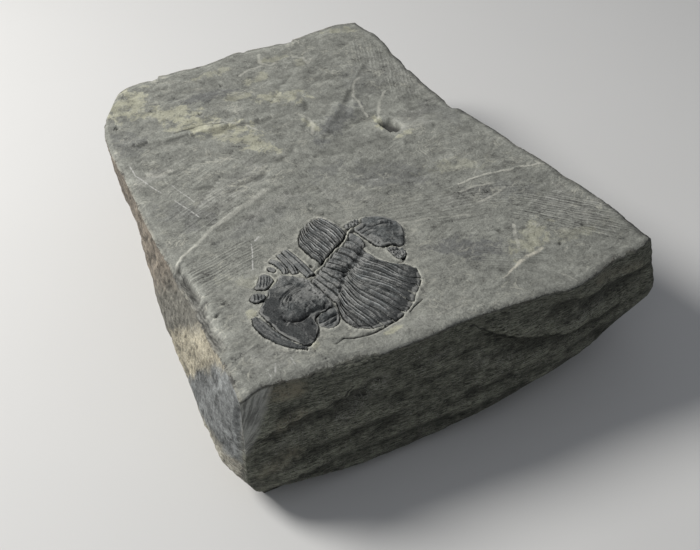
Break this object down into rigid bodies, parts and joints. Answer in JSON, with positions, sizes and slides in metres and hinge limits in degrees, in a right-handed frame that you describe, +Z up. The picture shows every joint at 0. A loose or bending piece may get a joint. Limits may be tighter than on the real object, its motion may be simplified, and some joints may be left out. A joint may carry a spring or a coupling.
{
  "type": "trilobite fossil",
  "caption": "Flattened trilobite with a segmented body, broken cheeks and a small tail, preserved in relief on the split face of a thick shale slab.",
  "frame": {"origin": "middle of the slab's footprint box, on the plane of its base", "axes": "+Z up, out of the bedding plane that carries the fossil; +Y along the slab's long side, away from the broken front edge; +X along the front edge, to the right when looking along +Y"},
  "size_m": [0.0942, 0.1196, 0.0296],
  "materials": {
    "shale": "dull grey split rock with tan staining",
    "fossil_plate": "dark blue-grey calcite with a faint sheen"
  },
  "bodies": {
    "root": {"shale_slab": "shale", "cranidium": "fossil_plate", "anterior_border": "fossil_plate", "left_palpebral_fragment": "fossil_plate", "right_cheek_rear_fragment": "fossil_plate", "right_cheek_front_fragment": "fossil_plate", "pleural_spine_fragment": "fossil_plate", "thoracic_segment_1": "fossil_plate", "thoracic_segment_2": "fossil_plate", "thoracic_segment_3": "fossil_plate", "thoracic_segment_4": "fossil_plate", "thoracic_segment_5": "fossil_plate", "thoracic_segment_6": "fossil_plate", "thoracic_segment_7": "fossil_plate", "thoracic_segment_8": "fossil_plate", "thoracic_segment_9": "fossil_plate", "thoracic_segment_10": "fossil_plate", "right_front_pleura_1": "fossil_plate", "right_front_pleura_2": "fossil_plate", "right_front_pleura_3": "fossil_plate", "right_fan_pleura_1": "fossil_plate", "right_fan_pleura_2": "fossil_plate", "right_fan_pleura_3": "fossil_plate", "right_fan_pleura_4": "fossil_plate", "right_fan_pleura_5": "fossil_plate", "right_fan_pleura_6": "fossil_plate", "pygidium": "fossil_plate", "pygidium_right_fragment": "fossil_plate", "pygidium_left_fragment": "fossil_plate"}
  },
  "joints": []
}
